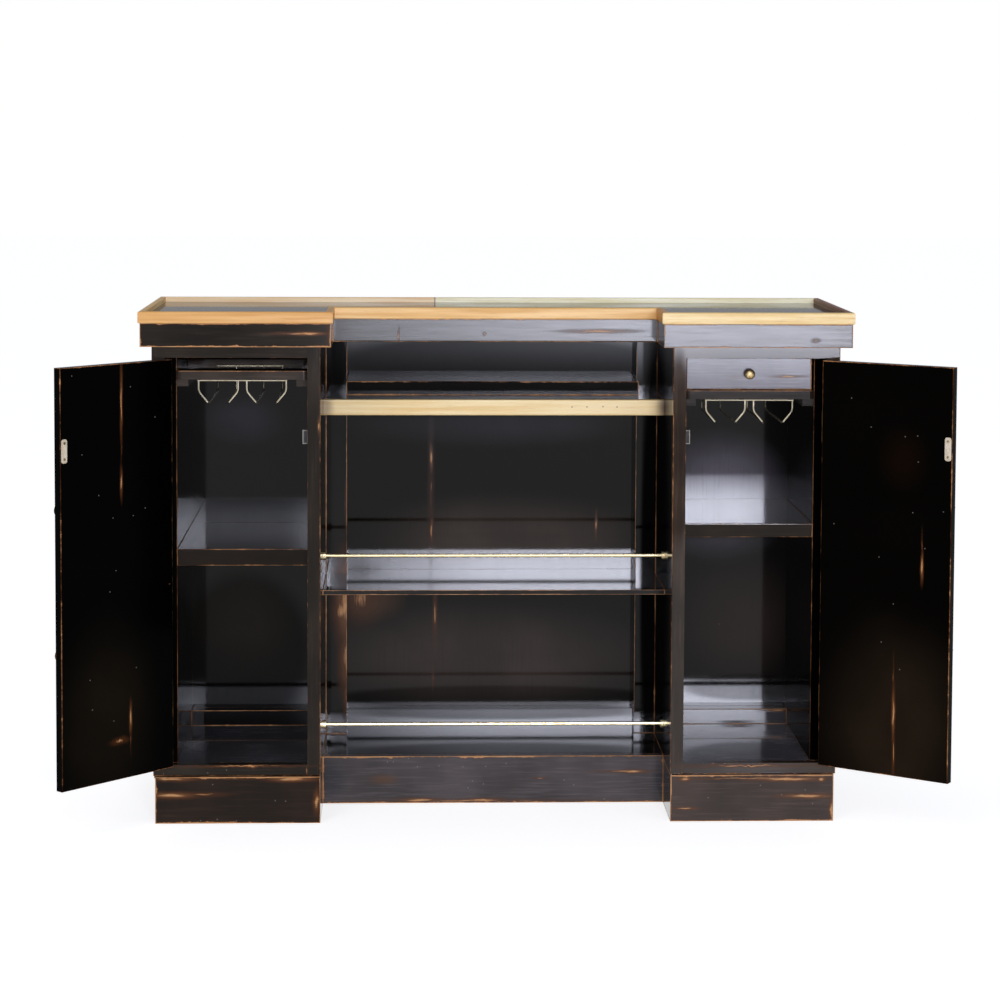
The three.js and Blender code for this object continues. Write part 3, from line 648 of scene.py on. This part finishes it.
# Chips, as photograph pixels
DOTS = {
    "left_door": (
        (71.8, 376), (130.4, 386.7), (155, 417), (81.9, 455), (98.8, 495.5), (145.3, 508),
        (133.2, 515.6), (113, 518), (116, 570.7), (110, 592), (136.4, 667.5), (92.5, 710),
        (90.2, 680.4), (114, 721),
    ),
    "right_door": (
        (924.9, 548.6), (899.6, 669.5), (918.3, 462), (917.7, 436), (905.3, 436.7), (871.2, 427),
        (851.7, 398), (943.5, 512), (833.9, 523.6), (878.9, 557), (881.2, 642), (893.3, 604),
        (912.8, 512.7),
    ),
    "left_face_frame": ((226.6, 770), (207.7, 773)),
    "left_plinth": (
        (212.7, 784.6), (285.7, 801.2), (275.2, 800.7), (200.6, 820.7), (217.2, 819.4),
        (236.4, 821), (164.2, 822.6),
    ),
    "right_plinth": (
        (760.4, 785.3), (708.2, 797.7), (781.7, 794.7), (812.5, 803.6), (805.2, 789.9), (819, 822),
    ),
    "centre_plinth": (
        (439.1, 766), (462.9, 766.7), (485.8, 766.4), (506.1, 763.6), (472.6, 781), (467.9, 787.9),
        (483.4, 783.9), (573.8, 784.8), (564.1, 780.1), (408.4, 758.4), (417.4, 766.7),
        (387.4, 762), (393.3, 762), (604.2, 799),
    ),
}

# Places where the paint has another tone, as boxes of photograph pixels, the tone and its strength.
# Most are painted sheen, reflection and shade
PAINTED_LIGHT_AND_TONES = {
    # painted reflection: both doors are lighter and browner low down
    "left_door": ((40, 600, 170, 840, (24, 19, 12), 1.0),),
    "right_door": ((800, 600, 990, 860, (36, 27, 18), 1.0), (870, 420, 936, 500, (25, 12, 4), 0.5)),
    "right_face_frame": ((650, 752, 840, 792, (86, 78, 76), 0.8),),
    # the rear panel: painted sheen in the lavender-grey patches high up, painted reflection in the
    # pale patch on the right, a painted glow beside the left post, and browner, lighter patches
    # lower down
    "rear_panel": (
        (280, 590, 700, 720, (60, 50, 46), 1.0), (340, 486, 670, 592, (62, 52, 46), 1.0),
        (330, 396, 660, 452, (46, 44, 50), 0.8), (190, 388, 300, 452, (44, 42, 52), 0.7),
        (660, 540, 820, 700, (44, 33, 30), 1.0), (180, 560, 320, 680, (26, 20, 13), 1.0),
        (640, 420, 800, 570, (104, 98, 108), 0.85), (336, 572, 412, 626, (84, 58, 42), 0.7),
    ),
    # painted sheen: the left post is lighter
    "back_frame": ((324, 400, 352, 740, (30, 25, 22), 0.9),),
    # the lavender-grey ends are painted sheen
    "centre_plinth": (
        (362, 772, 404, 787, (96, 62, 40), 0.7), (310, 755, 350, 805, (40, 40, 50), 0.8),
        (648, 755, 672, 805, (40, 40, 50), 0.8),
    ),
    # painted shadow: darker at the frieze's right end
    "frieze_centre": ((640, 318, 672, 345, (8, 7, 8), 0.9),),
}

# Places where the paint mirrors less, as painted shade where it lies in shadow
SHADE_DULLED = {
    "back_frame": (
        (640, 280, 672, 860, 0.9), (310, 320, 352, 404, 0.85), (300, 704, 700, 724, 0.6),
    ),
    "rear_panel": (
        (300, 330, 700, 394, 0.6), (170, 560, 322, 740, 0.5), (300, 684, 690, 711, 0.7),
        (672, 672, 820, 702, 0.5),
    ),
    "right_face_frame": ((662, 336, 694, 560, 0.85),),
}

# How deep a tone goes into a piece: less than a board's thickness, so that it doesn't come out
# behind, but as far as the cross rail on the frame before the bay's back
TONE_DEPTH = {"back_frame": 60 * MM}
BOARD_TONE_DEPTH = 12 * MM

# The opening of the frame before the bay's back, which is open above
BAY_OPENING = ((-0.320, 0.142, 0.152), (0.320, 0.200, 1.100))

# How wide the wear of the arrises is, by the end of a node's name
WEAR = {
    "plinth": 1.5, "frieze_left": 1.3, "door": 0.55, "face_frame": 0.65, "panel": 0.0,
    "back_frame": 0.45, "inner_side": 0.0, "outer_side": 0.4, "liner": 0.3, "shelf": 0.5,
    "low_rail": 0.5, "rack_frame": 0.5, "drawer_front": 1.0,
}
USUAL_WEAR = 0.8

SATIN_RELIEF, GLOSSY_RELIEF = 0.2, 0.1
DOOR_STREAKS, USUAL_STREAKS = 0.1, 0.2
SEED_STEP = 3.1  # how far the noise of each piece is from that of the piece before


def holes_of(node, low, high):
    """The openings through a frame, whose arrises are worn too."""
    if node == "back_frame":
        return [BAY_OPENING]
    if not node.endswith("face_frame"):
        return []
    side = node.split("_")[0]
    inner, outer = shut_box(f"{side}_door", side)
    return [((inner[0], low[1], inner[2]), (outer[0], high[1], outer[2]))]


def paint_black_pieces():
    """Paints each black piece in its tone in the photograph, light and shade painted in, with its
    own worn edges and marks and its painted sheen, reflection and shade.
    """
    for number, (node, (grain, tone, shine, gloss)) in enumerate(BLACK_TONES_AS_LIT.items()):
        low, high = node_box(node)
        door = node.endswith("_door")
        depth = TONE_DEPTH.get(node, BOARD_TONE_DEPTH)
        dress(node, black_paint(
            node, grain, (low, high), holes_of(node, low, high),
            shut_turn(node.split("_")[0]) if door else None, tone, shine, gloss,
            relief=GLOSSY_RELIEF if gloss == GLOSSY else SATIN_RELIEF,
            wear=next((w for ending, w in WEAR.items() if node.endswith(ending)), USUAL_WEAR),
            streaks=DOOR_STREAKS if door else USUAL_STREAKS,
            rubs=[(*seen_box(node, *box), strength) for *box, strength in RUBS.get(node, ())],
            dots=[tuple(seen_at(node, *pixel)) for pixel in DOTS.get(node, ())],
            light_and_tones=[(*seen_box(node, *box, depth), patch_tone, strength)
                   for *box, patch_tone, strength in PAINTED_LIGHT_AND_TONES.get(node, ())],
            dulled_in_shade=[(*seen_box(node, *box, depth), strength)
                  for *box, strength in SHADE_DULLED.get(node, ())],
            seed=SEED_STEP * number))


# Clear wood: the axis of the grain and its two tones, set per piece to how lit it looks: painted
# light on the near-white back edge, painted shade on the dark right side
ORANGE, DEEP = (240, 184, 104), (222, 158, 76)
PALE, WARM = (255, 228, 166), (246, 208, 136)
WOODS = {
    "edge_front_left": ("x", ORANGE, DEEP),
    "edge_return_left": ("y", ORANGE, DEEP),
    "edge_front_centre": ("x", (248, 200, 124), (232, 176, 96)),
    "edge_return_right": ("y", (224, 160, 92), DEEP),
    "edge_front_right": ("x", PALE, WARM),
    "edge_side_right": ("y", (150, 92, 52), (120, 70, 40)),
    "edge_back": ("x", (255, 250, 206), (255, 242, 184)),
    "edge_side_left": ("y", (255, 220, 150), (250, 200, 126)),
    "counter_edge": ("x", PALE, WARM),
    "drawer_box": ("y", PALE, WARM),
}
COUNTER_SMUDGES = ((312, 388, 337, 427, 0.6), (653, 384, 683, 431, 0.95))
COUNTER_DOTS = ((572, 407), (587, 407), (603, 406.6), (617, 407))
BACK_EDGE_JOINT = -0.126
WOOD_SEED_STEP = 1.7
USUAL_SHINE, BACK_EDGE_SHINE = 0.5, 1.0

# Metals and mouldings: light and dark tones, roughness and, where they differ from the usual,
# how many clouds to a metre and how metallic
WIRE = ((236, 226, 204), (205, 192, 166), 0.3)
IRON = ((26, 25, 26), (44, 42, 42), 0.45)
IVORY = ((228, 214, 188), (206, 190, 162), 0.4, 60, 0.0)
CASE = ((56, 50, 44), (38, 34, 30), 0.45, 60, 0.0)
CASE_RIM = (156, 150, 136)
MAGNET = ((30, 29, 28), (48, 46, 44), 0.5, 60, 0.3)
HINGE_BRASS = ((96, 74, 42), (58, 44, 26), 0.45)
RAIL_BRASS = ((250, 236, 196), (232, 210, 158), 0.25)
KNOB_BRASS = ((222, 198, 148), (150, 120, 74), 0.42, 260)
SCREW_BRASS = ((168, 146, 108), (120, 100, 70), 0.35)
KNUCKLE_BRASS = ((150, 118, 66), (82, 64, 38), 0.4)


def paint_clear_wood():
    for number, (node, (grain, pale, dark)) in enumerate(WOODS.items()):
        smudges, dots, joint, shine = (), (), None, USUAL_SHINE
        if node == "counter_edge":
            smudges = [(*seen_box(node, *box), strength) for *box, strength in COUNTER_SMUDGES]
            dots = [tuple(seen_at(node, *pixel)) for pixel in COUNTER_DOTS]
        if node == "edge_back":
            joint, shine = BACK_EDGE_JOINT, BACK_EDGE_SHINE
        dress(node, honey_wood(node, grain, colour(*pale), colour(*dark),
                               WOOD_SEED_STEP * (number + 1), smudges, dots, joint, shine))


def paint_fittings():
    for side in ("left", "right"):
        dress(f"{side}_wire_rack", metal(f"{side}_wire", *WIRE))
        dress(f"{side}_door_pull", metal(f"{side}_iron", *IRON))
        dress(f"{side}_strike", metal(f"{side}_strike", *IVORY))
        case = f"{side}_catch_case"
        dress(case, metal(case, *CASE, node_box(case), CASE_RIM))
        dress(f"{side}_catch_magnet", metal(f"{side}_magnet", *MAGNET))
        for place in ("lower", "upper"):
            node = f"{side}_hinge_{place}"
            dress(node, metal(node, *HINGE_BRASS))
    brass = metal("pale_brass", *RAIL_BRASS)
    for node in ("rail_upper", "rail_lower"):
        dress(node, brass)
    dress("drawer_knob", metal("knob_brass", *KNOB_BRASS))


# Small fittings that the frame keeps plain

def new_piece(name, mesh, material, body, place):
    """Links a bmesh as a piece that rides on a body."""
    data = bpy.data.meshes.new(name)
    bmesh.ops.recalc_face_normals(mesh, faces=mesh.faces)
    mesh.transform(place)
    mesh.to_mesh(data)
    mesh.free()
    data.materials.append(material)
    piece = bpy.data.objects.new(name, data)
    bpy.context.scene.collection.objects.link(piece)
    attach(piece, body)
    return piece


def turned_profile(mesh, profile, sides):
    """Adds the closed solid that a profile of (radius, height) points makes round the Z axis."""
    rings = []
    for radius, height in profile:
        around = [2 * math.pi * k / sides for k in range(sides)] if radius else [0]
        rings.append([mesh.verts.new((radius * math.cos(a), radius * math.sin(a), height))
                      for a in around])
    for lower, upper in zip(rings, rings[1:]):
        for k in range(sides):
            after = (k + 1) % sides
            corners = [lower[k % len(lower)], lower[after % len(lower)],
                       upper[after % len(upper)], upper[k % len(upper)]]
            mesh.faces.new(list(dict.fromkeys(corners)))


STRIKE_CORNER = 5 * MM
STRIKE_EASE = 0.4 * MM
CORNER_STEPS = 6
SCREW_FROM_MIDDLE = 16 * MM
SCREW_RADIUS = 2.6 * MM
SCREW_STANDS_OUT = 0.5 * MM
SCREW_SUNK, SCREW_RIM = 0.6 * MM, 0.1 * MM
SCREW_CROWN = (0.7, 0.8)  # where the crown starts, as shares of the radius and of the height
SCREW_SIDES = 16


def strike_plate(side, material):
    """The catch's ivory plate, with round corners and eased faces, in the plain one's place."""
    low, high = shut_box(f"{side}_strike", side)
    mesh = bmesh.new()
    rings = []
    for inset, y in ((0, low[1]), (0, high[1] - STRIKE_EASE), (STRIKE_EASE, high[1])):
        ring = []
        for corner in range(4):
            right, top = corner in (0, 3), corner in (0, 1)
            x = (high[0] - STRIKE_CORNER) if right else (low[0] + STRIKE_CORNER)
            z = (high[2] - STRIKE_CORNER) if top else (low[2] + STRIKE_CORNER)
            for step in range(CORNER_STEPS + 1):
                angle = math.pi / 2 * (corner + step / CORNER_STEPS)
                reach = STRIKE_CORNER - inset
                place = (x + reach * math.cos(angle), y, z + reach * math.sin(angle))
                ring.append(mesh.verts.new(place))
        rings.append(ring)
    for one, other in zip(rings, rings[1:]):
        for k in range(len(one)):
            after = (k + 1) % len(one)
            mesh.faces.new((one[k], one[after], other[after], other[k]))
    mesh.faces.new(rings[0])
    mesh.faces.new(rings[-1])
    plate = new_piece(f"{side}_strike_plate", mesh, material, f"{side}_door",
                      shut_matrix(side).inverted())
    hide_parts(f"{side}_strike")


def strike_screws(side, material):
    """The two round-head screws that hold the plate."""
    low, high = shut_box(f"{side}_strike", side)
    mesh = bmesh.new()
    crown = (SCREW_RADIUS * SCREW_CROWN[0], SCREW_STANDS_OUT * SCREW_CROWN[1])
    profile = ((0, -SCREW_SUNK), (SCREW_RADIUS, -SCREW_SUNK), (SCREW_RADIUS, SCREW_RIM), crown,
               (0, SCREW_STANDS_OUT))
    for way in (-1, 1):
        before = set(mesh.verts)
        turned_profile(mesh, profile, SCREW_SIDES)
        head = [v for v in mesh.verts if v not in before]
        middle = Vector(((low[0] + high[0]) / 2, high[1],
                         (low[2] + high[2]) / 2 + way * SCREW_FROM_MIDDLE))
        place = Matrix.Translation(middle) @ Matrix.Rotation(-math.pi / 2, 4, "X")
        bmesh.ops.transform(mesh, matrix=place, verts=head)
    new_piece(f"{side}_strike_screws", mesh, material, f"{side}_door",
              shut_matrix(side).inverted())


KNUCKLES = 5
KNUCKLE_RADIUS = 4.2 * MM
KNUCKLE_GAP = 0.7 * MM
KNUCKLE_EASE = 0.5 * MM
KNUCKLE_SIDES = 20
FINIAL_HEIGHT = 4 * MM

# A finial's outline, as shares of the knuckles' radius and of its height
FINIAL = ((0, 0), (0.5, 0), (0.5, 0.2), (0.8, 0.4), (0.8, 0.65), (0.5, 0.9), (0, 1))


def hinge_knuckles(side, place, material):
    """A butt hinge's knuckles round its pin, with a finial at either end."""
    pin, _ = shut_turn(side)
    low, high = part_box(f"{side}_hinge_{place}")
    height = (high.z - low.z) / KNUCKLES
    eased = KNUCKLE_RADIUS - KNUCKLE_EASE
    mesh = bmesh.new()
    for number in range(KNUCKLES):
        start = low.z + number * height + KNUCKLE_GAP / 2
        end = start + height - KNUCKLE_GAP
        profile = ((0, start), (eased, start), (KNUCKLE_RADIUS, start + KNUCKLE_EASE),
                   (KNUCKLE_RADIUS, end - KNUCKLE_EASE), (eased, end), (0, end))
        turned_profile(mesh, profile, KNUCKLE_SIDES)
    for end, way in ((low.z, -1), (high.z, 1)):
        profile = [(radius * KNUCKLE_RADIUS, end + way * share * FINIAL_HEIGHT)
                   for radius, share in FINIAL]
        turned_profile(mesh, profile, KNUCKLE_SIDES)
    new_piece(f"{side}_hinge_{place}_knuckles", mesh, material, f"{side}_door",
              Matrix.Translation((pin[0], pin[1], 0)))


def small_fittings():
    for side in ("left", "right"):
        strike_plate(side, metal(f"{side}_strike_ivory", *IVORY))
        strike_screws(side, metal(f"{side}_strike_screw", *SCREW_BRASS))
        for place in ("lower", "upper"):
            hinge_knuckles(side, place, metal(f"{side}_{place}_knuckle", *KNUCKLE_BRASS))


# Floor and light

FLOOR_REACH = 30
FLOOR_TONE = (226, 226, 228)
FLOOR_ROUGHNESS = 0.9
FLOOR_SEEN_STRENGTH = 0.72  # what the camera sees besides the lit floor, up to white


def floor():
    """A pale floor that the camera and reflections see as white and that keeps the shadow."""
    mesh = bpy.data.meshes.new("floor")
    reach = FLOOR_REACH
    corners = [(-reach, -reach, 0), (reach, -reach, 0), (reach, reach, 0), (-reach, reach, 0)]
    mesh.from_pydata(corners, [], [(0, 1, 2, 3)])
    plane = bpy.data.objects.new("floor", mesh)
    bpy.context.scene.collection.objects.link(plane)
    s = Shader("floor")
    path = s.add("ShaderNodeLightPath").outputs
    reflected = s.math("MAXIMUM", path["Is Glossy Ray"], path["Is Transmission Ray"])
    seen = s.math("MULTIPLY", path["Is Camera Ray"], FLOOR_SEEN_STRENGTH)
    s.set(Base_Color=colour(*FLOOR_TONE), Roughness=FLOOR_ROUGHNESS)
    s.set(Emission_Color=WHITE, Emission_Strength=seen)
    s.bsdf.inputs["Specular IOR Level"].default_value = 0.0
    white = s.add("ShaderNodeEmission")
    either = s.add("ShaderNodeMixShader")
    s.put(either.inputs[0], reflected)
    s.put(either.inputs[1], s.bsdf.outputs[0])
    s.put(either.inputs[2], white.outputs[0])
    s.put(s.output.inputs["Surface"], either.outputs[0])
    mesh.materials.append(s.material)


def light(name, place, target, size, strength, tint):
    """An area lamp. strength is how bright its face looks, where 1 is white."""
    data = bpy.data.lights.new(name, "AREA")
    data.shape = "RECTANGLE"
    data.size, data.size_y = size
    data.energy = strength * size[0] * size[1] * math.pi
    data.color = tint
    lamp = bpy.data.objects.new(name, data)
    bpy.context.scene.collection.objects.link(lamp)
    lamp.location = place
    aim = Vector(target) - Vector(place)
    lamp.rotation_euler = aim.to_track_quat("-Z", "Y").to_euler()
    return data


def soft_light(name, x, y, z, strength, soft):
    """An upright lamp facing the object, between two x and two z, that dims towards its sides.

    soft lists (side, share of the brightness there, how far in it is full)."""
    (left, right), (bottom, top) = x, z
    middle = ((left + right) / 2, y, (bottom + top) / 2)
    size = (right - left, top - bottom)
    data = light(name, middle, (middle[0], 0, middle[2]), size, strength, LAVENDER)
    data.use_nodes = True
    tree = data.node_tree
    emission = next(node for node in tree.nodes if node.type == "EMISSION")
    apart = tree.nodes.new("ShaderNodeSeparateXYZ")
    tree.links.new(tree.nodes.new("ShaderNodeNewGeometry").outputs["Parametric"], apart.inputs[0])
    brightness = None
    for side, share, reach in soft:
        # the first coordinate runs from left to right and the second from bottom to top
        axis = 0 if side in ("left", "right") else 1
        inset = reach / size[axis]
        edge, full = (0, inset) if side in ("left", "bottom") else (1, 1 - inset)
        ramp = tree.nodes.new("ShaderNodeMapRange")
        ramp.interpolation_type = "SMOOTHSTEP"
        tree.links.new(apart.outputs[axis], ramp.inputs["Value"])
        for key, number in zip(("From Min", "From Max", "To Min", "To Max"),
                               (edge, full, share, 1.0)):
            ramp.inputs[key].default_value = number
        if brightness is None:
            brightness = ramp.outputs[0]
        else:
            times = tree.nodes.new("ShaderNodeMath")
            times.operation = "MULTIPLY"
            tree.links.new(brightness, times.inputs[0])
            tree.links.new(ramp.outputs[0], times.inputs[1])
            brightness = times.outputs[0]
    tree.links.new(brightness, emission.inputs["Strength"])


LAVENDER = (0.84, 0.86, 1.0)
WORLD_FILL, WORLD_FILL_TINT = 0.38, (0.93, 0.95, 1.0, 1)

# Upright lamps before the cabinet, which its paint mirrors: the x between which they stand,
# y, the z, their strength and how they dim towards their sides
SOFT_LIGHTS = {
    "strip": ((-0.77, 1.9), -8, (1.7, 1.98), 138,
              (("left", 0.2, 1.2), ("right", 0.0, 0.24), ("bottom", 0.0, 0.05))),
    "strip_high": ((-0.62, 1.9), -8, (1.98, 2.21), 46,
                   (("left", 0.2, 1.0), ("right", 0.0, 0.24), ("top", 0.0, 0.12))),
    "strip_left": ((-1.92, -0.77), -8, (1.7, 1.91), 14,
                   (("left", 0.0, 0.3), ("bottom", 0.0, 0.05))),
    "low_panel": ((-0.62, 2.2), -8.2, (0.1, 0.65), 18,
                  (("left", 0.0, 0.1), ("left", 0.4, 1.7), ("bottom", 0.0, 0.3))),
}

# The lamp above on the left: its place, what it faces, its size, strength and tint
KEY_LIGHT = ((-2.4, -4.4, 4.2), (0, 0, 0.6), (1.8, 1.4), 3.5, (1.0, 0.95, 0.88))


def background(tree, tint, strength):
    """A colour of the world."""
    made = tree.nodes.new("ShaderNodeBackground")
    made.inputs["Color"].default_value = tint
    made.inputs["Strength"].default_value = strength
    return made.outputs[0]


def studio():
    """A world that fills with soft light and looks white to the camera, and the lamps."""
    world = bpy.data.worlds.new("studio")
    bpy.context.scene.world = world
    world.use_nodes = True
    tree = world.node_tree
    tree.nodes.clear()
    output = tree.nodes.new("ShaderNodeOutputWorld")
    mix = tree.nodes.new("ShaderNodeMixShader")
    path = tree.nodes.new("ShaderNodeLightPath").outputs
    tree.links.new(path["Is Camera Ray"], mix.inputs[0])
    tree.links.new(background(tree, WORLD_FILL_TINT, WORLD_FILL), mix.inputs[1])
    tree.links.new(background(tree, WHITE, 1.0), mix.inputs[2])
    tree.links.new(mix.outputs[0], output.inputs["Surface"])
    for name, settings in SOFT_LIGHTS.items():
        soft_light(name, *settings)
    light("key", *KEY_LIGHT)
    bpy.context.scene.view_settings.view_transform = "Standard"


camera()
floor()
studio()
paint_black_pieces()
paint_clear_wood()
paint_fittings()
small_fittings()
